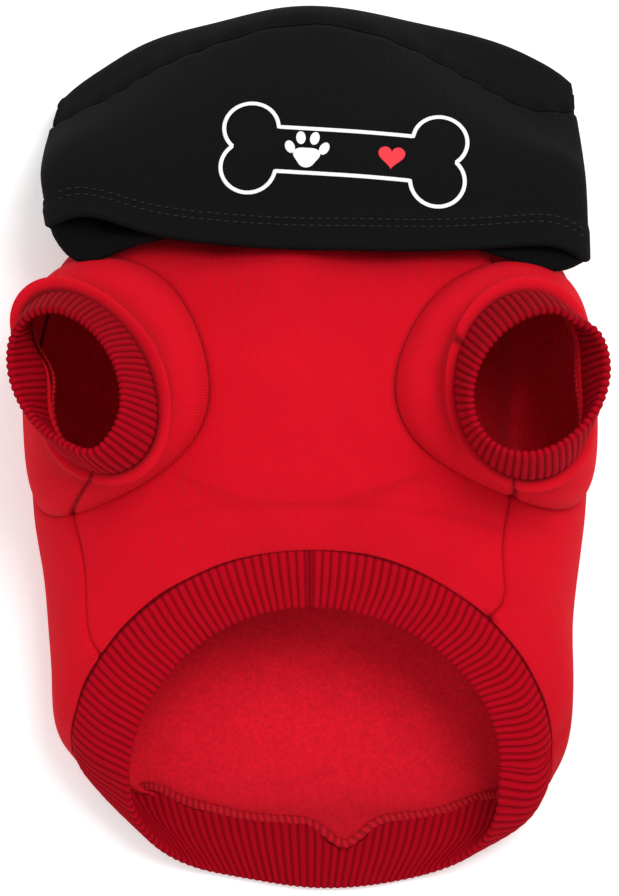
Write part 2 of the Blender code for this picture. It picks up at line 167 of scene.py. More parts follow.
# Where the hood's hem lies higher or lower: degrees round the hood, spread, shift along Y in mm.
# It hangs down over both shoulders, and its corners lift or droop.
HEM_WAVES = (
    (-61.0, 13.5, -14.7),
    (62.0, 18.0, -15.2),
    (-95.0, 10.0, -3.5),
    (-124.0, 13.0, 7.5),
    (-158.0, 20.0, 3.2),
    (98.0, 12.0, -9.0),
)

# Where the crown lies lower than its loop, likewise
CROWN_WAVES = ((-157.0, 11.0, -2.0), (156.0, 11.0, -2.0))

# Where the waistband's free edge lies higher or lower, likewise
BAND_WAVES = ((-160.0, 14.0, 2.2),)

# Where the floor side of the waist seam bunches up: degrees, spread, shift towards the waist in mm
WAIST_PLEATS = (
    (-138.0, 6.0, -7.0),
    (-152.0, 8.0, -3.0),
    (171.5, 4.2, 11.0),
    (133.0, 8.0, -5.0),
)
WAIST_GATHERS = 22
GATHER_DEPTH = 0.2        # share of the fleece's thickness

# Ribs, and thread loops of the overlocked edges inside the seams
BAND_RIBS = 150
CUFF_RIBS = 63
BAND_THREADS = 210
CUFF_THREADS = 84

# Lengths that turn shares, stations and angles into metres near a seam
BAND_ROUND = 0.45         # round the waistband
BAND_DEPTH = 0.045        # along it
WAIST_PITCH = 0.030       # one station of the body, at the waist
LEG_HOLE_RADIUS = 0.048
HOOD_PANEL_DEPTH = 0.110

FLOOR_SOFTNESS = 0.0024   # over how many metres the cloth bends onto the floor
SEAM_INSET = 0.0004       # how far a doubled edge stays clear of the end of its surface
KNIT_PITCH = 0.0010       # between the columns of stitches on the sweatshirt's face

# The print: its centre in the scene, its turn in degrees, and the parts from its centre, in metres
PRINT_CENTRE = (0.0143, 0.1090)
PRINT_SWING = -4.5
PRINT_LINE = 0.0016
INK_THICKNESS = 0.00016
INK_LIFT = 0.00014
HEART_X = 0.019
HEART_SCALE = 0.00034
PAW_TOES = ((-0.0219, 0.0012, 24.0), (-0.0178, 0.0054, 8.0), (-0.0122, 0.0054, -8.0),
            (-0.0081, 0.0012, -24.0))        # x, y, lean in degrees

WHITE = (1.0, 1.0, 1.0, 1.0)


def length_property(name, description, default):
    return bpy.props.FloatProperty(name=name, description=description, default=default, unit="LENGTH")


def colour_property(name, description, default):
    return bpy.props.StringProperty(name=name, description=description, default=default)


class JacketSizes(bpy.types.PropertyGroup):
    """Sizes of the jacket, all in metres."""
    body_width: length_property("Body width", "Across the body at the front legs", 0.222)
    torso_length: length_property("Torso length", "Neck seam to waist seam", 0.237)
    chest_height: length_property("Chest height", "Floor to the chest", 0.072)
    hood_width: length_property("Hood width", "Across the folded hood", 0.216)
    hood_length: length_property("Hood length", "Neck seam to the crown", 0.098)
    hood_height: length_property("Hood height", "Floor to the hood's hem", 0.062)
    neck_line: length_property("Neck line", "Where the neck seam lies along Y", 0.090)
    sleeve_rise: length_property("Sleeve rise", "Floor to the cuff's seam", 0.084)
    sleeve_seam_width: length_property("Sleeve seam width", "Across the cuff's seam", 0.060)
    cuff_length: length_property("Cuff length", "Seam to free edge", 0.020)
    band_hem_width: length_property("Band width", "Across the waistband's free edge", 0.151)
    fleece: length_property("Fleece", "Thickness of the red fleece", 0.0024)
    jersey: length_property("Jersey", "Thickness of the hood's cloth", 0.0020)
    rib_knit: length_property("Rib knit", "Thickness of the doubled rib", 0.0030)
    rib_relief: length_property("Rib relief", "Height of the ribs", 0.0007)
    stitch_length: length_property("Stitch length", "Pitch of the hem's stitches", 0.0034)
    stitch_rows_gap: length_property("Stitch gauge", "Between the hem's two rows", 0.0030)
    hem_depth: length_property("Hem depth", "Hem's edge to its stitches", 0.0118)
    print_width: length_property("Print width", "Length of the printed bone", 0.098)


class JacketColours(bpy.types.PropertyGroup):
    """Colours of the jacket, as sRGB hex values."""
    fleece: colour_property("Fleece", "Face of the red fleece", "#CE051C")
    fleece_inside: colour_property("Fleece inside", "Brushed side of the fleece", "#DA1226")
    rib: colour_property("Rib", "Dark red rib knit", "#A80418")
    jersey: colour_property("Hood", "Black cloth of the hood", "#080809")
    print_white: colour_property("Print white", "White ink of the print", "#F3F3F1")
    print_red: colour_property("Print red", "Red ink of the print", "#E23A44")


def linear(colour):
    """An sRGB hex value as linear red, green, blue and alpha."""
    values = []
    for start in (1, 3, 5):
        value = int(colour[start:start + 2], 16) / 255.0
        values.append(value / 12.92 if value <= 0.04045 else ((value + 0.055) / 1.055) ** 2.4)
    return (*values, 1.0)


# Shape of the cloth

def curve_through(values, station):
    """Values at stations along a list, on a smooth curve through it."""
    padded = np.array([2.0 * values[0] - values[1], *values, 2.0 * values[-1] - values[-2]])
    index = np.clip(np.floor(station).astype(int), 0, len(values) - 2)
    part = station - index
    before, here, ahead, after = (padded[index + step] for step in range(4))
    square = part * part
    cube = square * part
    return ((2.0 * cube - 3.0 * square + 1.0) * here
            + (cube - 2.0 * square + part) * 0.5 * (ahead - before)
            + (3.0 * square - 2.0 * cube) * ahead
            + (cube - square) * 0.5 * (after - here))


def measured(rows, length, width, height, neck_line):
    """Loops with their shares turned into metres, one list for each column."""
    loops = {key: [row[index] for row in rows] for index, key in enumerate(LOOP_COLUMNS)}
    for key in ("y_front", "y_left", "y_right", "y_back"):
        loops[key] = [neck_line - value * length for value in loops[key]]
    for key in ("x_left", "x_right"):
        loops[key] = [value * 0.5 * width for value in loops[key]]
    for key in ("z_front", "z_side", "z_back"):
        loops[key] = [value * height for value in loops[key]]
    return loops


def joined(first, second):
    """The last loop of one list, followed by another list."""
    return {key: [first[key][-1]] + values for key, values in second.items()}


def place(loops, angle, station, thickness):
    """The middle of the wall at angles (degrees) round the tube and stations along it."""
    across = np.sin(np.radians(angle))
    along = np.cos(np.radians(angle))
    at = {key: curve_through(values, station) for key, values in loops.items()}
    x = across * np.where(across > 0.0, at["x_right"], at["x_left"])
    right = 0.5 + 0.5 * across
    y_side = at["y_left"] * (1.0 - right) + at["y_right"] * right
    front = along > 0.0
    y_end = np.where(front, at["y_front"], at["y_back"])
    z_end = np.where(front, at["z_front"], at["z_back"])
    peak = np.where(front, at["peak"], at["peak_left"] * (1.0 - right) + at["peak_right"] * right)
    y = y_side + (y_end - y_side) * np.abs(along) ** peak
    z = at["z_side"] + (z_end - at["z_side"]) * np.abs(along) ** (2.0 / at["round"])
    above = z - 0.5 * thickness
    z = 0.5 * (thickness + above + np.sqrt(above * above + FLOOR_SOFTNESS ** 2))
    return np.stack([x, y, z], axis=-1) - OUTLINE_MIDDLE


def unit(vectors):
    return vectors / np.maximum(np.linalg.norm(vectors, axis=-1, keepdims=True), 1e-12)


def slopes(surface, across, along, step_across, step_along):
    """How a surface runs across and along, for small steps."""
    over = surface(across + step_across, along) - surface(across - step_across, along)
    on = surface(across, along + step_along) - surface(across, along - step_along)
    return over, on


def outward(surface, angle, station):
    """The tube's normal, out of the jacket."""
    over, on = slopes(surface, angle, station, 1.0, 0.02)
    return unit(np.cross(on, over))


def bump(distance, spread):
    return np.exp(-0.5 * (distance / spread) ** 2)


def turned(angle, other):
    """The shortest way round from one angle to another, in degrees."""
    return (angle - other + 180.0) % 360.0 - 180.0


def near(angle, middle, spread):
    """1 at an angle, and less the further round from it."""
    return bump(turned(angle, middle), spread)


def above_floor(point, lowest):
    """The places, with none of them lower than a height."""
    point[..., 2] = np.maximum(point[..., 2], lowest)
    return point


def run_along(line):
    """Metres along a line, at each of its places."""
    return np.concatenate([[0.0], np.cumsum(np.linalg.norm(np.diff(line, axis=0), axis=1))])


def fold_height(folds, angle, station):
    """How far folds lift the wall, in metres."""
    height = np.zeros_like(angle)
    for middle, row, wide, long, slant, depth in folds:
        away = station - row
        height += 0.001 * depth * near(angle, middle + slant * away, wide) * bump(away, long)
    return height


def waves(table, angle):
    """The sum of a table's shifts at angles, in metres."""
    return sum(0.001 * shift * near(angle, middle, spread) for middle, spread, shift in table)


def bunch_up(point, angle, away):
    """Bunches the cloth up at the waist seam's pleats, less so away from the seam."""
    pleat = waves(WAIST_PLEATS, angle) * np.clip(1.0 - away, 0.0, 1.0) ** 2
    point[..., 1] -= pleat
    point[..., 2] += 0.25 * np.abs(pleat)


def ripple(across, along, seed, size):
    """Soft unevenness of cloth, about -1 to 1, from a few waves in fixed directions."""
    turn = np.random.default_rng(seed)
    total = np.zeros_like(across)
    for wave in range(7):
        heading = turn.uniform(0.0, pi)
        length = size * turn.uniform(0.7, 1.6)
        phase = turn.uniform(0.0, TURN)
        total += np.sin((across * np.cos(heading) + along * np.sin(heading)) * TURN / length + phase)
    return total / 3.5


class Shape:
    """The surfaces that the jacket's cloth follows."""

    def __init__(self, sizes):
        self.sizes = sizes
        self.body_loops = measured(BODY_LOOPS, sizes.torso_length, sizes.body_width,
                                   sizes.chest_height, sizes.neck_line)
        band = measured(BAND_LOOPS, sizes.torso_length, sizes.band_hem_width,
                        sizes.chest_height, sizes.neck_line)
        hood = measured(HOOD_LOOPS, sizes.hood_length, sizes.hood_width,
                        sizes.hood_height, sizes.neck_line)
        self.band_loops = joined(self.body_loops, band)
        neck = {key: values[:1] for key, values in self.body_loops.items()}
        self.hood_loops = joined(neck, hood)

    def body(self, angle, station):
        return place(self.body_loops, angle, station, self.sizes.fleece)

    def body_cloth(self, angle, station):
        """The body with its folds, and the puckers and pleats that the waistband draws in."""
        sizes = self.sizes
        point = self.body(angle, station)
        height = fold_height(BODY_FOLDS, angle, station)
        near_waist = np.clip(1.0 - (WAIST - station) / 0.7, 0.0, 1.0)
        gathered = GATHER_DEPTH * sizes.fleece * near_waist * (1.0 - near(angle, 0.0, 50.0))
        height += gathered * np.sin(WAIST_GATHERS * np.radians(angle))
        height += 0.0004 * ripple(point[..., 0], point[..., 1], 5, 0.05)
        point = point + outward(self.body, angle, station) * height[..., None]
        bunch_up(point, angle, (WAIST - station) / 0.5)
        return above_floor(point, 0.5 * sizes.fleece)

    def band(self, angle, station):
        thickness = self.sizes.rib_knit + 2.0 * self.sizes.rib_relief
        point = place(self.band_loops, angle, station, thickness)
        point[..., 1] += waves(BAND_WAVES, angle) * np.clip(station / BAND_END, 0.0, 1.0) ** 2
        bunch_up(point, angle, station)
        return point

    def hood(self, angle, station):
        point = place(self.hood_loops, angle, station, self.sizes.jersey)
        point[..., 1] += waves(HEM_WAVES, angle) * np.clip(station - (HOOD_HEM - 1), 0.0, None) ** 2
        point[..., 1] += waves(CROWN_WAVES, angle) * bump(station - 3.3, 0.5)
        return point

    def hood_cloth(self, angle, station):
        point = self.hood(angle, station)
        height = fold_height(HOOD_FOLDS, angle, station)
        height += 0.0006 * ripple(point[..., 0], point[..., 1] + point[..., 2], 11, 0.06)
        pucker = np.sin(38.0 * np.radians(angle) + 3.0 * np.sin(np.radians(5.0 * angle)))
        height += 0.0004 * bump(station - CROWN_SEAM, 0.10) * pucker
        point = point + outward(self.hood, angle, station) * height[..., None]
        return above_floor(point, 0.5 * self.sizes.jersey)

    def leg_hole(self, side, turn):
        """Places on a leg hole's edge, with the tube's normals there."""
        middle, half_angle, station, half_length = LEG_HOLES[side]
        angle = middle + half_angle * np.cos(turn)
        row = station - half_length * np.sin(turn)
        return self.body(angle, row), outward(self.body, angle, row)

    def ring(self, rings, side, height, turn):
        """Places on an oval ring, and its centre."""
        sizes = self.sizes
        x, y, width, length, lean_x, lean_y, swing = rings[side]
        axis = Vector((sin(radians(lean_x)), sin(radians(lean_y)), 1.0)).normalized()
        along_x = (Vector((1.0, 0.0, 0.0)) - axis * axis.x).normalized()
        along_y = axis.cross(along_x)
        centre = np.array((x * sizes.body_width, sizes.neck_line - y * sizes.torso_length, height))
        centre -= OUTLINE_MIDDLE
        swing = radians(swing)
        half = 0.5 * sizes.sleeve_seam_width
        dent = waves(((SEAM_DENTS if rings is CUFF_SEAMS else EDGE_DENTS)[side],), np.degrees(turn))
        wide = (half * width - dent) * np.cos(turn - swing)
        tall = (half * length - dent) * np.sin(turn - swing)
        flat_x = (wide * cos(swing) - tall * sin(swing))[..., None]
        flat_y = (wide * sin(swing) + tall * cos(swing))[..., None]
        return centre + flat_x * np.array(along_x) + flat_y * np.array(along_y), centre

    def cuff(self, side, turn, along):
        """Places on a cuff's cone, from its seam at 0 to its free edge at 1."""
        foot, _ = self.ring(CUFF_SEAMS, side, self.sizes.sleeve_rise, turn)
        top, _ = self.ring(CUFF_EDGES, side, self.sizes.sleeve_rise + self.sizes.cuff_length, turn)
        return foot + (top - foot) * along[..., None]

    def sleeve(self, side, turn, along):
        """Places on a sleeve, from its leg hole at 0 to the cuff's seam at 1."""
        foot, normal = self.leg_hole(side, turn)
        top = self.cuff(side, turn, np.zeros_like(turn))
        cone = unit(self.cuff(side, turn, np.ones_like(turn)) - top)
        reach = top - foot
        rise = np.linalg.norm(reach, axis=-1, keepdims=True)
        leave = (normal * SLEEVE_START + reach / rise) * rise
        arrive = cone * SLEEVE_END * rise
        w = along[..., None]
        return (foot * (1.0 - w) ** 2 * (1.0 + 2.0 * w) + top * w ** 2 * (3.0 - 2.0 * w)
                + leave * w * (1.0 - w) ** 2 - arrive * w ** 2 * (1.0 - w))

    def sleeve_puff(self, side, turn, along):
        """How far a sleeve's cloth puffs out in its rolls and folds."""
        foot, _ = self.leg_hole(side, turn)
        rise = np.linalg.norm(self.cuff(side, turn, np.zeros_like(turn)) - foot, axis=-1)
        room = np.clip(rise / 0.030, 0.35, 1.0)
        rolls = (0.001 * lift * bump(along - share, spread) for share, spread, lift in SLEEVE_ROLLS)
        height = room * sum(rolls)
        for middle, share, wide, long, lift in SLEEVE_FOLDS[side]:
            height += 0.001 * lift * near(np.degrees(turn), middle, wide) * bump(along - share, long)
        return height


# Making the cloth pieces

def finish_piece(piece, slot, *nodes):
    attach(piece, "root")
    if nodes:
        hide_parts(*nodes)


def grid_sheet(columns, rows, shape, weld=False, ribs=0, cut=None, lining=False):
    """A sheet whose shape(across, along), both 0 to 1, gives places and the painted shade that they
    carry.

    Its UV map "cloth" is in metres. The map "rib" counts ribs across. What cut() marks is left out.
    With a lining, the second half of the rows takes the second material.
    """
    sheet = bmesh.new()
    bmesh.ops.create_grid(sheet, x_segments=columns, y_segments=rows, size=0.5)
    cloth_map = sheet.loops.layers.uv.new("cloth")
    rib_map = sheet.loops.layers.uv.new("rib")
    # The float attribute "seam" holds painted shade, 0 to 1: shade in seam grooves, in hollows and
    # under overlapping cloth.
    seam = sheet.verts.layers.float.new("seam")
    shares = np.array([vertex.co[:2] for vertex in sheet.verts]) + 0.5
    places, depth = shape(shares[:, 0], shares[:, 1])
    column = np.rint(shares[:, 0] * columns).astype(int)
    row = np.rint(shares[:, 1] * rows).astype(int)
    lattice = np.zeros((rows + 1, columns + 1, 3))
    lattice[row, column] = places
    over = np.linalg.norm(np.diff(lattice, axis=1), axis=-1)
    if weld:
        over = over.mean(axis=0, keepdims=True) + 0.0 * over
    on = np.linalg.norm(np.diff(lattice, axis=0), axis=-1)
    across_length = np.concatenate([np.zeros((rows + 1, 1)), np.cumsum(over, axis=1)], axis=1)
    across_length -= across_length[:, columns // 2:columns // 2 + 1]
    along_length = np.concatenate([np.zeros((1, columns + 1)), np.cumsum(on, axis=0)], axis=0)
    for vertex, spot, i, j, painted_shade in zip(sheet.verts, places, column, row, depth):
        vertex.co = spot
        vertex[seam] = painted_shade
        for loop in vertex.link_loops:
            loop[cloth_map].uv = (across_length[j, i], along_length[j, i])
            loop[rib_map].uv = (ribs * i / columns, j / rows)
    if lining:
        sheet.verts.index_update()
        for face in sheet.faces:
            face.material_index = int(max(row[vertex.index] for vertex in face.verts) > rows // 2)
    if cut is not None:
        inside = cut(shares[:, 0], shares[:, 1])
        gone = [vertex for vertex, out in zip(sheet.verts, inside) if out]
        bmesh.ops.delete(sheet, geom=gone, context="VERTS")
    if weld:
        bmesh.ops.remove_doubles(sheet, verts=sheet.verts, dist=0.000005)
    return sheet


def evenly(loop):
    """Turns shares of a closed loop's length into the loop's own shares."""
    shares = np.linspace(0.0, 1.0, 1441)
    run = run_along(loop(shares))
    return lambda share: np.floor(share) + np.interp((share - np.floor(share)) * run[-1], run, shares)


def through(share, cuts, knots):
    """A run through knots that is at each where the share meets its cut, and slower near them."""
    result = knots[0] + 0.0 * share
    for low, high, start, end in zip(cuts, cuts[1:], knots, knots[1:]):
        part = np.clip((share - low) / (high - low), 0.0, 1.0)
        result = result + (end - start) * (part - 0.6 * np.sin(TURN * part) / TURN)
    return result


def made_object(name, sheet, materials):
    """A smooth object from a bmesh, with its faces outward."""
    bmesh.ops.recalc_face_normals(sheet, faces=sheet.faces)
    mesh = bpy.data.meshes.new(name)
    sheet.to_mesh(mesh)
    sheet.free()
    mesh.shade_smooth()
    for material in materials:
        mesh.materials.append(material)
    made = bpy.data.objects.new(name, mesh)
    bpy.context.scene.collection.objects.link(made)
    return made


def wall(piece, thickness, inner_material=0):
    """Gives an open sheet its thickness, half to each side."""
    solidify = piece.modifiers.new("wall", "SOLIDIFY")
    solidify.thickness = thickness
    solidify.offset = 0.0
    solidify.material_offset = inner_material
    solidify.material_offset_rim = 0


def profile(share, cap=0.08):
    """A way round a wall's section: outer face, end cap, inner face, start cap.

    Gives the share along the wall, the side (1 outside, -1 inside) and the overrun at the ends.
    """
    flat = 0.5 - cap
    along = np.where(share < flat, share / flat, 1.0)
    end = np.clip((share - flat) / cap, 0.0, 1.0)
    inner = np.clip((share - 0.5) / flat, 0.0, 1.0)
    start = np.clip((share - 0.5 - flat) / cap, 0.0, 1.0)
    along = np.where(share > 0.5, 1.0 - inner, along)
    side = np.where(share < 0.5, np.cos(pi * end), -np.cos(pi * start))
    over = np.where(share < 0.5, np.sin(pi * end), -np.sin(pi * start))
    return along, side, over


def doubled(surface, across, section, thickness, inset, relief=None, flip=1.0, lift=None):
    """Places round the section of a wall that follows surface(across, along).

    Relief thickens it on both sides, lift moves it outward and flip says which side is outside.
    """
    along, side, over = profile(section)
    point = surface(across, along)
    sideways, on = slopes(surface, across, along, 0.002, 0.01)
    normal = unit(np.cross(on, sideways)) * flip
    forward = unit(on)
    half = 0.5 * thickness(along)
    if relief is not None:
        half = half + relief(across, along)
    shift = inset * (1.0 - 2.0 * along)
    raised = side * half + (lift(across, along) if lift else 0.0)
    return (point + normal * raised[..., None]
            + forward * (over * np.maximum(half, 0.0002) + shift)[..., None])


def rib_thickness(sizes):
    """The thickness of a doubled rib for shares along it: fullest in the middle."""
    return lambda along: sizes.rib_knit * (1.0 + 0.4 * np.sin(pi * np.clip(along, 0.0, 1.0)))


def rib_ridge(share, count):
    """A 1x1 rib's rounded ridges and narrow valleys, 0 to 1."""
    return (0.5 + 0.5 * np.cos(TURN * count * share)) ** 0.5


def flat_area(piece):
    """Half the surface of a closed thin wall, in square metres."""
    graph = bpy.context.evaluated_depsgraph_get()
    mesh = piece.evaluated_get(graph).to_mesh()
    area = sum(polygon.area for polygon in mesh.polygons)
    piece.evaluated_get(graph).to_mesh_clear()
    return 0.5 * area


def declare_sheet(piece, width, length):
    """Works out the area of a laid sheet of cloth, at most nearly the size it was cut to, and does
    nothing with it.
    """
    area = min(flat_area(piece), 0.98 * width * length)


# Materials

def add_node(tree, kind, links=(), **settings):
    """Adds a node, sets its properties and sockets and links sockets into it."""
    node = tree.nodes.new(kind)
    for key, value in settings.items():
        if hasattr(node, key):
            setattr(node, key, value)
        else:
            node.inputs[key.replace("_", " ")].default_value = value
    for socket, source in links:
        tree.links.new(source, node.inputs[socket])
    return node


def maths(tree, operation, *operands):
    """A maths node; each operand is a socket or a number."""
    node = add_node(tree, "ShaderNodeMath", operation=operation)
    for index, operand in enumerate(operands):
        if isinstance(operand, (int, float)):
            node.inputs[index].default_value = operand
        else:
            tree.links.new(operand, node.inputs[index])
    return node.outputs[0]


def cloth_material(name, colour, roughness, sheen, sheen_tint):
    """A matte cloth with a soft sheen from its fibres; returns it with its tree and shader."""
    made = bpy.data.materials.new(name)
    made.use_nodes = True
    tree = made.node_tree
    shader = tree.nodes["Principled BSDF"]
    settings = {"Base Color": colour, "Roughness": roughness, "IOR": 1.45, "Specular IOR Level": 0.15,
                "Sheen Weight": sheen, "Sheen Roughness": 0.45, "Sheen Tint": sheen_tint}
    for key, value in settings.items():
        shader.inputs[key].default_value = value
    return made, tree, shader


def shaded(colour, factor):
    return tuple(value * factor for value in colour[:3]) + (1.0,)


def noise(tree, scale, detail, roughness=0.5):
    """Noise in the object's own coordinates, at a scale in cells a metre."""
    spot = add_node(tree, "ShaderNodeTexCoord")
    node = add_node(tree, "ShaderNodeTexNoise", Scale=scale, Detail=detail, Roughness=roughness,
                    links=[("Vector", spot.outputs["Object"])])
    return node.outputs["Fac"]


def knit_wales(tree, pitch, course):
    """Height of a knit's columns of V stitches, from the cloth's own map in metres."""
    cloth = add_node(tree, "ShaderNodeUVMap", uv_map="cloth")
    split = add_node(tree, "ShaderNodeSeparateXYZ", links=[("Vector", cloth.outputs["UV"])])
    wave = maths(tree, "COSINE", maths(tree, "MULTIPLY", split.outputs["X"], TURN / pitch))
    row = maths(tree, "MULTIPLY", split.outputs["Y"], TURN / course)
    course_wave = maths(tree, "SINE", maths(tree, "MULTIPLY_ADD", wave, 1.3, row))
    return maths(tree, "MULTIPLY_ADD", course_wave, 0.45, wave)


def bumped(tree, shader, height, strength, distance):
    """Feeds a height into the shader's normal."""
    node = add_node(tree, "ShaderNodeBump", links=[("Height", height)])
    node.inputs["Strength"].default_value = strength
    node.inputs["Distance"].default_value = distance
    tree.links.new(node.outputs["Normal"], shader.inputs["Normal"])


def blended(tree, factor, dark, light):
    """A colour between two, each a socket or a colour."""
    mix = add_node(tree, "ShaderNodeMix", data_type="RGBA", links=[(0, factor)])
    for socket, colour in ((6, dark), (7, light)):
        if isinstance(colour, tuple):
            mix.inputs[socket].default_value = colour
        else:
            tree.links.new(colour, mix.inputs[socket])
    return mix.outputs[2]


def coloured(tree, shader, factor, dark, light, low=0.0, high=1.0, most=1.0):
    """Colours the cloth between two colours, and darkens it by at most a share with the painted shade
    of its "seam" attribute.
    """
    spread = add_node(tree, "ShaderNodeMapRange", links=[("Value", factor)])
    spread.inputs["From Min"].default_value = low
    spread.inputs["From Max"].default_value = high
    cloth = blended(tree, spread.outputs["Result"], dark, light)
    # Painted shade: the colour mixes towards a dark copy of itself where the "seam" attribute says
    # shade falls.
    depth = add_node(tree, "ShaderNodeAttribute", attribute_name="seam")
    share = maths(tree, "MINIMUM", depth.outputs["Fac"], most)
    result = blended(tree, share, cloth, shaded(dark, 0.22))
    tree.links.new(result, shader.inputs["Base Color"])


def sweatshirt_face(name, colour, sheen):
    """Cotton sweatshirt fleece, jersey side: fine columns of stitches, dry and matte."""
    base = linear(colour)
    made, tree, shader = cloth_material(name, base, 0.9, sheen, shaded(base, 1.4))
    knit = knit_wales(tree, KNIT_PITCH, 0.8 * KNIT_PITCH)
    fuzz = noise(tree, 2200.0, 3.0, 0.7)
    bumped(tree, shader, maths(tree, "MULTIPLY_ADD", fuzz, 1.6, knit), 0.6, 0.00014)
    cloud = maths(tree, "MULTIPLY_ADD", noise(tree, 50.0, 5.0), 0.5, 0.25)
    coloured(tree, shader, maths(tree, "MULTIPLY_ADD", knit, 0.20, cloud),
             shaded(base, 0.82), shaded(base, 1.12))
    return made


def brushed_back(name, colour):
    """The fleece's brushed inside: matted fibres in small tufts, softer and paler than the face."""
    base = linear(colour)
    made, tree, shader = cloth_material(name, base, 0.95, 0.15, (1.0, 0.30, 0.34, 1.0))
    tufts = noise(tree, 620.0, 6.0, 0.72)
    bumped(tree, shader, tufts, 0.8, 0.0005)
    both = maths(tree, "MULTIPLY_ADD", noise(tree, 90.0, 3.0), 0.2, tufts)
    coloured(tree, shader, both, shaded(base, 0.72), shaded(base, 1.22), 0.35, 0.85, 0.42)
    return made


def rib_material(name, colour):
    """Cotton rib knit: soft ridges with painted shade in the valleys between them, and each rib's own
    stitches.
    """
    base = linear(colour)
    made, tree, shader = cloth_material(name, base, 0.9, 0.08, shaded(base, 1.5))
    knit = knit_wales(tree, 0.00145, 0.0010)
    fuzz = noise(tree, 1500.0, 3.0, 0.7)
    bumped(tree, shader, maths(tree, "MULTIPLY_ADD", fuzz, 1.8, knit), 0.5, 0.00012)
    count = add_node(tree, "ShaderNodeUVMap", uv_map="rib")
    split = add_node(tree, "ShaderNodeSeparateXYZ", links=[("Vector", count.outputs["UV"])])
    # Painted shade in the rib valleys and a faint painted highlight on the ridges, with uneven tone
    # from noise.
    wave = maths(tree, "COSINE", maths(tree, "MULTIPLY", split.outputs["X"], TURN))
    painted_rib_shade = maths(tree, "POWER", maths(tree, "MULTIPLY_ADD", wave, 0.5, 0.5), 0.55)
    cloud = maths(tree, "MULTIPLY_ADD", noise(tree, 90.0, 3.0), 0.3, painted_rib_shade)
    coloured(tree, shader, cloud, shaded(base, 0.50), shaded(base, 1.08), 0.20)
    shader.inputs["Specular IOR Level"].default_value = 0.06
    return made


def ink_material(name, colour):
    """Screen-printed ink on knit: smooth, slightly uneven where the stitches show through."""
    base = linear(colour)
    made, tree, shader = cloth_material(name, base, 0.62, 0.0, WHITE)
    grain = noise(tree, 900.0, 4.0, 0.65)
    bumped(tree, shader, grain, 0.35, 0.00015)
    coloured(tree, shader, grain, shaded(base, 0.80), shaded(base, 1.0), 0.25, 0.5)
    return made


def thread_material(name, colour, roughness):
    """Spun polyester sewing thread, a little shinier than the cloth."""
    base = linear(colour)
    made, tree, shader = cloth_material(name, base, roughness, 0.1, shaded(base, 2.0))
    twist = noise(tree, 2600.0, 2.0)
    bumped(tree, shader, twist, 0.5, 0.0001)
    coloured(tree, shader, twist, shaded(base, 0.7), shaded(base, 1.2), 0.3, 0.7)
    return made


def jacket_materials():
    """All the cloths of the jacket, made once and found by name afterwards."""
    colours = bpy.context.scene.jacket_colours
    makers = {
        "red_fleece_face": lambda name: sweatshirt_face(name, colours.fleece, 0.08),
        "red_fleece_inside": lambda name: brushed_back(name, colours.fleece_inside),
        "dark_red_rib_knit": lambda name: rib_material(name, colours.rib),
        "black_hood_jersey": lambda name: sweatshirt_face(name, colours.jersey, 0.04),
        "print_ink_white": lambda name: ink_material(name, colours.print_white),
        "print_ink_red": lambda name: ink_material(name, colours.print_red),
        "black_thread": lambda name: thread_material(name, "#222224", 0.6),
        "red_thread": lambda name: thread_material(name, "#BC0A1E", 0.8),
    }
    return {name: bpy.data.materials.get(name) or make(name) for name, make in makers.items()}


# Cloth pieces

def hole_distance(angle, station):
    """Metres from the nearest leg hole's edge."""
    nearest = np.full_like(angle, 9.0)
    for middle, half_angle, row, half_length in LEG_HOLES.values():
        oval = np.hypot(turned(angle, middle) / half_angle, (station - row) / half_length)
        nearest = np.minimum(nearest, np.abs(oval - 1.0) * LEG_HOLE_RADIUS)
    return nearest


def round_holes(angle, station):
    """Bends a square round each leg hole, and the grid near it, onto the hole's oval."""
    for middle, half_angle, row, half_length in LEG_HOLES.values():
        u = turned(angle, middle) / half_angle
        v = (station - row) / half_length
        square = np.maximum(np.maximum(np.abs(u), np.abs(v)), 1e-9)
        away = np.clip((square - 1.0) / 0.5, 0.0, 1.0)
        away = away * away * (3.0 - 2.0 * away)
        scale = away + (1.0 - away) * square / np.maximum(np.hypot(u, v), 1e-9)
        angle = angle + u * (scale - 1.0) * half_angle
        station = station + v * (scale - 1.0) * half_length
    return angle, station


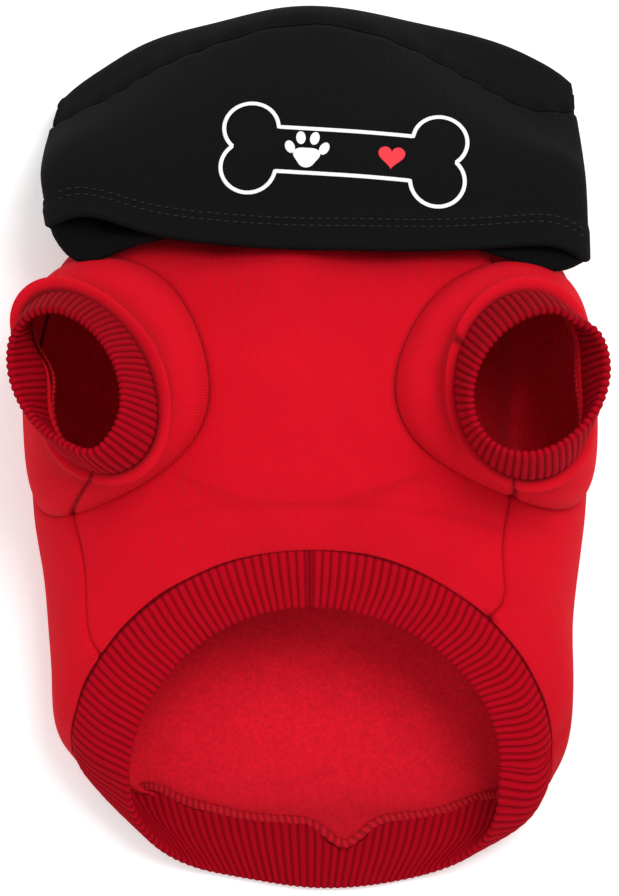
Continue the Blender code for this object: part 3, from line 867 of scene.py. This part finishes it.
def body_panel(shape, name, angles, columns, sides, materials):
    """One panel of the body, from seam to seam and from the neck to the waist, with its leg holes.

    The angles are those of its first seam, the edges of the leg holes on both sides and its last
    seam, and the columns say how many lie in each part between them.
    """
    start, end = angles[0], angles[-1]
    column_cuts = np.cumsum((0,) + columns) / sum(columns)
    rows = (44, 100, 86)
    row_cuts = np.cumsum((0,) + rows) / sum(rows)

    def spot(across, along):
        angle = through(across, column_cuts, angles)
        ends = []
        for side in sides:
            _, _, row, half_length = LEG_HOLES[side]
            ends.append((row - half_length, row + half_length))
        part = np.clip((across - column_cuts[1]) / (column_cuts[2] - column_cuts[1]), 0.0, 1.0)
        low, high = (ends[0][end] * (1.0 - part) + ends[1][end] * part for end in (0, 1))
        station = through(along, row_cuts, (0.0 * part, low, high, WAIST + 0.0 * part))
        return round_holes(angle, station)

    def seamed(across, along):
        """The cloth with its edges drawn down into the seams, and its painted shade."""
        angle, station = spot(across, along)
        point = shape.body_cloth(angle, station)
        over, _ = slopes(shape.body, angle, station, 0.5, 0.02)
        degree = np.linalg.norm(over, axis=-1)
        from_seam = np.minimum(np.abs(turned(angle, start)), np.abs(turned(angle, end))) * degree
        from_hole = hole_distance(angle, station)
        from_waist = (WAIST - station) * WAIST_PITCH
        pucker = 0.00008 * np.sin(station * 230.0) * bump(from_seam, 0.003)
        dip = (0.0015 * bump(from_seam, 0.0011) + 0.0012 * bump(from_hole, 0.0014)
               + 0.0008 * bump(from_waist, 0.0012))
        point += outward(shape.body, angle, station) * (pucker - dip)[..., None]
        # Painted shade in the grooves of the side seams, the leg holes and the waist seam.
        depth = np.maximum(bump(from_seam, 0.0006), bump(from_hole, 0.0009))
        depth = np.maximum(depth, 0.6 * bump(from_waist, 0.0005))
        # Painted shade inside the back by the waist, a painted shadow of the hood's hem on the belly
        # near the neck, and a painted shadow of the band inside the right side.
        below = near(angle, 180.0, 50.0)
        shade = (0.50 * bump(from_waist, 0.022) * below
                 + 0.34 * bump(station - 0.4, 0.55) * (1.0 - below)
                 + 0.40 * near(angle, 112.0, 16.0) * bump(station - 5.2, 1.0))
        return above_floor(point, 0.5 * shape.sizes.fleece), np.maximum(depth, shade)

    def in_hole(across, along):
        level = (along > row_cuts[1] + 0.001) & (along < row_cuts[2] - 0.001)
        return level & ((across < column_cuts[1] - 0.001) | (across > column_cuts[2] + 0.001))

    sheet = grid_sheet(sum(columns), sum(rows), seamed, cut=in_hole)
    piece = made_object(name, sheet, materials)
    wall(piece, shape.sizes.fleece, 1)
    return piece


def overlock(name, path, threads, wide, high, material):
    """A seam's overlocked edge: loops of thread round a path that gives places and the way inside."""

    def spot(across, around):
        here, inside = path(across)
        on = unit(path(across + 0.0015)[0] - path(across - 0.0015)[0])
        sideways = unit(np.cross(inside, on))
        turn = TURN * around
        thread = 0.5 + 0.5 * np.cos(TURN * threads * across + 1.2 * np.cos(turn))
        lift = high * (0.70 + 0.30 * thread)
        point = (here + sideways * (wide * np.cos(turn))[..., None]
                 + inside * (lift * (0.6 + np.sin(turn)))[..., None])
        # Painted shade between the thread loops.
        return above_floor(point, 0.0003), 0.6 * (1.0 - thread)

    return made_object(name, grid_sheet(threads * 6, 10, spot, True), [material])


class JACKET_OT_body(bpy.types.Operator):
    """Makes the belly panel and the back panel of the body"""
    bl_idname = "jacket.body"
    bl_label = "Body"

    def execute(self, context):
        shape = Shape(context.scene.jacket_sizes)
        cloths = jacket_materials()
        both = [cloths["red_fleece_face"], cloths["red_fleece_inside"]]
        left, left_half = LEG_HOLES["left"][:2]
        right, right_half = LEG_HOLES["right"][:2]
        above = (LEFT_SEAM, left + left_half, right - right_half, RIGHT_SEAM)
        below = (RIGHT_SEAM, right + right_half, left - left_half + 360.0, LEFT_SEAM + 360.0)
        belly = body_panel(shape, "belly_cloth", above, (50, 50, 38), ("left", "right"), both)
        back = body_panel(shape, "back_cloth", below, (50, 110, 44), ("right", "left"), both)
        finish_piece(belly, "red_fleece", "belly_panel")
        finish_piece(back, "red_fleece", "back_panel")
        declare_sheet(belly, 0.190, 0.195)
        declare_sheet(back, 0.352, 0.260)
        return {"FINISHED"}


class JACKET_OT_waistband(bpy.types.Operator):
    """Makes the ribbed band round the slanted waist, and the overlocked edge inside its seam"""
    bl_idname = "jacket.waistband"
    bl_label = "Waistband"

    def execute(self, context):
        sizes = context.scene.jacket_sizes
        shape = Shape(sizes)
        cloths = jacket_materials()
        band_at = evenly(lambda share: shape.band(360.0 * share, 1.0 + 0.0 * share))

        def surface(round_it, along):
            return shape.band(360.0 * band_at(round_it), along * BAND_END)

        def join(round_it):
            return bump(np.minimum(round_it, 1.0 - round_it) * BAND_ROUND, 0.0005)

        def relief(round_it, along):
            ridges = 0.75 * sizes.rib_relief * (rib_ridge(round_it, BAND_RIBS) - 0.6)
            ridges = ridges * np.clip(along / 0.08, 0.0, 1.0)
            return ridges - 0.0009 * join(round_it) - 0.0005 * bump(along, 0.04)

        def spot(across, section):
            point = doubled(surface, across, section, rib_thickness(sizes), SEAM_INSET, relief)
            along, side, _ = profile(section)
            # Painted shade along the band's join and its seam with the body, and on the band's floor
            # side round the back.
            painted_seam_shade = 0.8 * bump(along * BAND_DEPTH, 0.0007) * (side > 0.0)
            below = 0.26 * near(360.0 * across, 190.0, 60.0)
            depth = np.maximum(np.maximum(0.7 * join(across % 1.0), painted_seam_shade), below)
            return above_floor(point, 0.0002), depth

        sheet = grid_sheet(BAND_RIBS * 7, 60, spot, True, BAND_RIBS)
        band = made_object("waistband_rib", sheet, [cloths["dark_red_rib_knit"]])
        finish_piece(band, "dark_red_rib", "waistband")

        def inside_waist(across):
            angle = 360.0 * across
            station = np.full_like(angle, WAIST - 0.03)
            inward = -outward(shape.body, angle, station)
            return shape.body_cloth(angle, station) + inward * 0.5 * sizes.fleece, inward

        edge = overlock("waist_overlock", inside_waist, BAND_THREADS, 0.0018, 0.0010,
                        cloths["red_thread"])
        finish_piece(edge, "red_fleece")
        declare_sheet(band, 0.460, 0.039)
        return {"FINISHED"}


class JACKET_OT_sleeves(bpy.types.Operator):
    """Makes both sleeves, their ribbed cuffs and the overlocked edges inside"""
    bl_idname = "jacket.sleeves"
    bl_label = "Sleeves and cuffs"

    def execute(self, context):
        sizes = context.scene.jacket_sizes
        shape = Shape(sizes)
        cloths = jacket_materials()
        thickness = rib_thickness(sizes)

        def even(along):
            return sizes.fleece + 0.0 * along

        for side in LEG_HOLES:
            cuff_at = evenly(lambda share, side=side: shape.cuff(side, TURN * share, 0.5 + 0.0 * share))

            def sleeve_surface(round_it, along, side=side):
                return shape.sleeve(side, TURN * round_it, along)

            def cuff_surface(round_it, along, side=side, cuff_at=cuff_at):
                return shape.cuff(side, TURN * cuff_at(round_it), along)

            def underarm(round_it, side=side):
                return np.abs(turned(360.0 * round_it, UNDERARM_SEAMS[side])) * 0.0006

            def puff(round_it, along, side=side):
                turn, depth = PINCHES[side]
                crease = near(360.0 * round_it, turn, 3.0) * bump(along - 0.93, 0.10)
                groove = 0.0013 * bump(underarm(round_it), 0.0010)
                return shape.sleeve_puff(side, TURN * round_it, along) - depth * crease - groove

            def sleeve_spot(across, section, side=side):
                point = doubled(sleeve_surface, across, section, even, -0.0002, None, -1.0, puff)
                along, face, _ = profile(section)
                turn, crease = PINCHES[side]
                # Painted shade along the underarm seam and the armhole seam, in the pinch crease, in
                # the valley round the sleeve and where its roll meets the cuff.
                pinched = 600.0 * crease * near(360.0 * across, turn, 2.0) * bump(along - 0.9, 0.08)
                lines = np.maximum(0.9 * bump(underarm(across), 0.0006), 0.9 * bump(along, 0.016))
                lines = np.maximum(lines, np.clip(pinched, 0.0, 0.8))
                shade = 0.30 * bump(along - 0.60, 0.07) + 0.9 * bump(1.0 - along, 0.022)
                return point, np.maximum(lines, shade) * (face > 0.0)

            def relief(round_it, along):
                ridges = sizes.rib_relief * (rib_ridge(round_it, CUFF_RIBS) - 0.6)
                return ridges * np.clip(along / 0.12, 0.0, 1.0) - 0.0008 * bump(along, 0.06)

            def cuff_spot(across, section):
                point = doubled(cuff_surface, across, section, thickness, SEAM_INSET, relief, -1.0)
                along, face, _ = profile(section)
                # Painted shade at the cuff's seam, and a painted shadow all round that is strongest
                # towards +Y.
                shadow = 0.14 + 0.22 * near(360.0 * across, 95.0, 50.0)
                return point, np.maximum(0.9 * bump(along, 0.05) * (face > 0.0), shadow)

            def inside_cuff(across, side=side):
                turn = TURN * across
                here = shape.cuff(side, turn, np.full_like(turn, -0.05))
                _, middle = shape.ring(CUFF_SEAMS, side, sizes.sleeve_rise, turn)
                inward = unit((middle - here) * np.array((1.0, 1.0, 0.0)))
                return here + inward * 0.5 * sizes.rib_knit, inward

            sheet = grid_sheet(300, 150, sleeve_spot, True, lining=True)
            sleeve = made_object("sleeve_cloth_" + side, sheet,
                                 [cloths["red_fleece_face"], cloths["red_fleece_inside"]])
            finish_piece(sleeve, "red_fleece", "sleeve_" + side)
            declare_sheet(sleeve, 0.253, 0.064)
            sheet = grid_sheet(CUFF_RIBS * 8, 52, cuff_spot, True, CUFF_RIBS)
            cuff = made_object("cuff_rib_" + side, sheet, [cloths["dark_red_rib_knit"]])
            finish_piece(cuff, "dark_red_rib", "cuff_" + side)
            edge = overlock("cuff_overlock_" + side, inside_cuff, CUFF_THREADS, 0.0020, 0.0010,
                            cloths["red_thread"])
            finish_piece(edge, "red_fleece")
            declare_sheet(cuff, 0.204, 0.028)
        return {"FINISHED"}


def hood_part(shape, first, last):
    """The hood between two stations, as a surface(share round it, share along it)."""
    def surface(round_it, along):
        angle = HOOD_OPENING + round_it * (360.0 - 2.0 * HOOD_OPENING)
        return shape.hood_cloth(angle, first + along * (last - first))
    return surface


def above_hem(surface, round_it, distance):
    """The shares along the hood's front that lie at a distance from its hem."""
    shares = np.linspace(1.0, 0.6, 60)
    lines = (surface(np.full(60, share), shares) for share in round_it)
    return np.array([np.interp(distance, run_along(line), shares) for line in lines])


def stitch_rows(name, surface, rows, pitch, lift, material):
    """Rows of short stitches that lie on a surface, without those at its sharp bends."""
    thread = bmesh.new()
    for distance in rows:
        coarse = np.linspace(0.01, 0.99, 240)
        shares = above_hem(surface, coarse, distance)
        length = run_along(surface(coarse, shares))
        spots = np.arange(0.5 * pitch, length[-1], pitch)
        across = np.interp(spots, length, coarse)
        along = np.interp(spots, length, shares)
        here = surface(across, along)
        sideways, on = slopes(surface, across, along, 0.002, 0.01)
        ways = unit(sideways)
        normals = unit(np.cross(sideways, on))
        bend = np.sum(ways[1:] * ways[:-1], axis=1)
        for spot, way, up, straight in zip(here, ways, normals, [*bend, 1.0]):
            if straight < 0.93:
                continue
            way, up = Vector(way), Vector(up)
            turn = Matrix((way, up.cross(way), up)).transposed().to_4x4()
            size = Matrix.Diagonal((0.36 * pitch, 0.00030, 0.00022, 1.0))
            spot = Matrix.Translation(Vector(spot) + up * lift)
            bmesh.ops.create_uvsphere(thread, u_segments=8, v_segments=5, radius=1.0,
                                      matrix=spot @ turn @ size)
    return made_object(name, thread, [material])


def bone_outline(share, length):
    """The outline of a bone with two knobs at each end, for shares round it."""
    half, knob, apart, bar = 0.388 * length, 0.112 * length, 0.087 * length, 0.098 * length
    inner = np.arcsin((bar - apart) / knob)
    waist = np.arcsin(apart / knob)
    bend = np.linspace(pi - inner, -waist, 60)
    upper = np.stack([half + knob * np.cos(bend), apart + knob * np.sin(bend)], axis=1)
    lower = upper[::-1] * (1.0, -1.0)
    right = np.concatenate([upper, lower[1:]])
    whole = np.concatenate([right, -right, right[:1]])
    run = run_along(whole)
    return np.stack([np.interp(share * run[-1], run, whole[:, axis]) for axis in (0, 1)], axis=1)


def printed(name, flat, columns, rows, onto, material):
    """A printed shape: flat(across, along) gives places in its own plane, laid on a surface below."""

    def spot(across, along):
        local = flat(across, along)
        turn = radians(PRINT_SWING)
        x = PRINT_CENTRE[0] + local[:, 0] * cos(turn) - local[:, 1] * sin(turn)
        y = PRINT_CENTRE[1] + local[:, 0] * sin(turn) + local[:, 1] * cos(turn)
        places = []
        down = Vector((0.0, 0.0, -1.0))
        for spot_x, spot_y in zip(x, y):
            place_on, normal, _, _ = onto.ray_cast(Vector((spot_x, spot_y, 0.3)), down)
            if place_on is None:
                raise RuntimeError(name + " doesn't lie on the hood")
            places.append(place_on + normal * INK_LIFT)
        return np.array(places), np.zeros_like(across)

    piece = made_object(name, grid_sheet(columns, rows, spot, True), [material])
    wall(piece, INK_THICKNESS)
    return piece


class JACKET_OT_hood(bpy.types.Operator):
    """Makes the hood's back panel and its front panel, with the turned-up hem and its stitches"""
    bl_idname = "jacket.hood"
    bl_label = "Hood"

    def execute(self, context):
        sizes = context.scene.jacket_sizes
        shape = Shape(sizes)
        cloths = jacket_materials()
        front_surface = hood_part(shape, CROWN_SEAM, HOOD_HEM)
        back_surface = hood_part(shape, HOOD_START, CROWN_SEAM)

        def panel(name, surface, columns, rows, hem, seam_at):

            def thickness(along):
                folded = np.clip((along - 0.84) / 0.04, 0.0, 1.0) * hem
                return sizes.jersey * (1.0 + 0.6 * folded)

            def seam_gap(along):
                return np.abs(along - seam_at) * HOOD_PANEL_DEPTH

            def groove(round_it, along):
                return -0.0009 * bump(seam_gap(along), 0.0020)

            def spot(across, section):
                point = doubled(surface, across, section, thickness, SEAM_INSET, groove, -1.0)
                along, side, _ = profile(section)
                # Painted shade: broken dark dashes where the crown seam puckers, and a darker inside on
                # the front panel.
                painted_pucker_shade = 0.75 + 0.25 * np.sin(410.0 * across) * np.sin(57.0 * across)
                depth = np.where(side > 0.0, painted_pucker_shade * bump(seam_gap(along), 0.0009), 0.55 * hem)
                return above_floor(point, 0.0001), depth

            sheet = grid_sheet(columns, rows, spot, True)
            open_edges = [edge for edge in sheet.edges if edge.is_boundary]
            bmesh.ops.holes_fill(sheet, edges=open_edges, sides=0)
            return made_object(name, sheet, [cloths["black_hood_jersey"]])

        back = panel("hood_back_cloth", back_surface, 220, 150, 0.0, 1.0)
        front = panel("hood_front_cloth", front_surface, 260, 190, 1.0, 0.0)
        finish_piece(back, "black_jersey", "hood_back_panel")
        finish_piece(front, "black_jersey", "hood_front_panel")
        rows = (sizes.hem_depth, sizes.hem_depth - sizes.stitch_rows_gap)
        stitches = stitch_rows("hem_stitches", front_surface, rows, sizes.stitch_length,
                               0.8 * sizes.jersey, cloths["black_thread"])
        finish_piece(stitches, "black_jersey")
        declare_sheet(back, 0.316, 0.113)
        return {"FINISHED"}


class JACKET_OT_print(bpy.types.Operator):
    """Prints an outlined bone, a paw and a heart on the front of the hood"""
    bl_idname = "jacket.print"
    bl_label = "Print"

    def execute(self, context):
        sizes = context.scene.jacket_sizes
        cloths = jacket_materials()
        front = bpy.data.objects["hood_front_cloth"]
        onto = BVHTree.FromObject(front, context.evaluated_depsgraph_get())
        white, red = cloths["print_ink_white"], cloths["print_ink_red"]
        length = sizes.print_width

        def bone(across, along):
            step = (bone_outline((across + 0.002) % 1.0, length)
                    - bone_outline((across - 0.002) % 1.0, length))
            sideways = unit(np.stack([-step[:, 1], step[:, 0]], axis=1))
            return bone_outline(across % 1.0, length) + sideways * ((along - 0.5) * PRINT_LINE)[:, None]

        def oval(x, y, wide, tall, lean, lobes=0.0):
            """A filled oval, with three soft lobes where they're asked for."""
            def flat(across, along):
                turn = TURN * across
                reach = along * (1.0 + lobes * np.sin(3.0 * turn))
                local_x, local_y = wide * reach * np.cos(turn), tall * reach * np.sin(turn)
                tip = radians(lean)
                return np.stack([x + local_x * cos(tip) - local_y * sin(tip),
                                 y + local_x * sin(tip) + local_y * cos(tip)], axis=1)
            return flat

        def heart(across, along):
            turn = TURN * across
            wide = 16.0 * np.sin(turn) ** 3
            tall = (13.0 * np.cos(turn) - 5.0 * np.cos(2.0 * turn) - 2.0 * np.cos(3.0 * turn)
                    - np.cos(4.0 * turn))
            return np.stack([HEART_X + wide * along * HEART_SCALE, tall * along * HEART_SCALE], axis=1)

        marks = [("print_bone", bone, 420, 2, white),
                 ("print_heart", heart, 72, 8, red),
                 ("print_paw_pad", oval(-0.015, -0.0026, 0.0052, 0.0042, 0.0, 0.13), 60, 8, white)]
        for index, (x, y, lean) in enumerate(PAW_TOES):
            marks.append(("print_toe_%d" % index, oval(x, y, 0.0019, 0.0028, lean), 32, 5, white))
        for name, flat, columns, rows, ink in marks:
            piece = printed(name, flat, columns, rows, onto, ink)
            finish_piece(piece, "black_jersey")
        declare_sheet(front, 0.344, 0.109)
        return {"FINISHED"}


class JACKET_OT_stage(bpy.types.Operator):
    """Sets up the pale floor, the soft lights and the camera"""
    bl_idname = "jacket.stage"
    bl_label = "Studio"

    def execute(self, context):
        scene = context.scene
        floor = bmesh.new()
        bmesh.ops.create_grid(floor, x_segments=1, y_segments=1, size=3.0)
        made, _, shader = cloth_material("pale_floor_paper", WHITE, 0.9, 0.0, WHITE)
        shader.inputs["Emission Color"].default_value = WHITE
        shader.inputs["Emission Strength"].default_value = 0.18
        made_object("floor", floor, [made])

        world = bpy.data.worlds.new("studio")
        world.use_nodes = True
        background = world.node_tree.nodes["Background"]
        background.inputs["Color"].default_value = WHITE
        background.inputs["Strength"].default_value = 0.70
        scene.world = world

        for name, spot, size, power in (("key_light", (0.55, 0.45, 1.4), 0.9, 14.0),
                                        ("fill_light", (-0.8, -0.6, 1.4), 1.6, 4.0)):
            light = bpy.data.lights.new(name, "AREA")
            light.shape = "DISK"
            light.size = size
            light.energy = power
            holder = bpy.data.objects.new(name, light)
            holder.location = spot
            holder.rotation_euler = (-Vector(spot)).to_track_quat("-Z", "Y").to_euler()
            scene.collection.objects.link(holder)

        # The photo looks down at 82 degrees from 1.5 m, at 0.4 mm to a pixel of its 896 along Y
        tilt = radians(8.0)
        distance = 1.5
        seen_height = 896 * 0.0004
        aim = Vector((0.0, 0.0, 0.040)) - Vector(OUTLINE_MIDDLE)
        camera = bpy.data.cameras.new("camera")
        camera.sensor_width = 36.0
        camera.lens = camera.sensor_width * distance / seen_height
        holder = bpy.data.objects.new("camera", camera)
        holder.location = aim + Vector((0.0, -sin(tilt), cos(tilt))) * distance
        holder.rotation_euler = (tilt, 0.0, 0.0)
        scene.collection.objects.link(holder)
        scene.camera = holder
        scene.view_settings.view_transform = "Standard"
        return {"FINISHED"}


class JACKET_PT_panel(bpy.types.Panel):
    """Lists the jacket's pieces"""
    bl_idname = "JACKET_PT_panel"
    bl_label = "Hooded Dog Jacket"
    bl_space_type = "VIEW_3D"
    bl_region_type = "UI"
    bl_category = "Jacket"

    def draw(self, context):
        for operator in OPERATORS:
            self.layout.operator(operator.bl_idname)


OPERATORS = (JACKET_OT_stage, JACKET_OT_body, JACKET_OT_waistband, JACKET_OT_sleeves, JACKET_OT_hood,
             JACKET_OT_print)
CLASSES = (JacketSizes, JacketColours, *OPERATORS, JACKET_PT_panel)


def register():
    for item in CLASSES:
        bpy.utils.register_class(item)
    bpy.types.Scene.jacket_sizes = bpy.props.PointerProperty(type=JacketSizes)
    bpy.types.Scene.jacket_colours = bpy.props.PointerProperty(type=JacketColours)


def unregister():
    del bpy.types.Scene.jacket_colours
    del bpy.types.Scene.jacket_sizes
    for item in reversed(CLASSES):
        bpy.utils.unregister_class(item)


def main():
    register()
    bpy.ops.jacket.stage()
    bpy.ops.jacket.body()
    bpy.ops.jacket.waistband()
    bpy.ops.jacket.sleeves()
    bpy.ops.jacket.hood()
    bpy.ops.jacket.print()


if __name__ == "__main__":
    main()
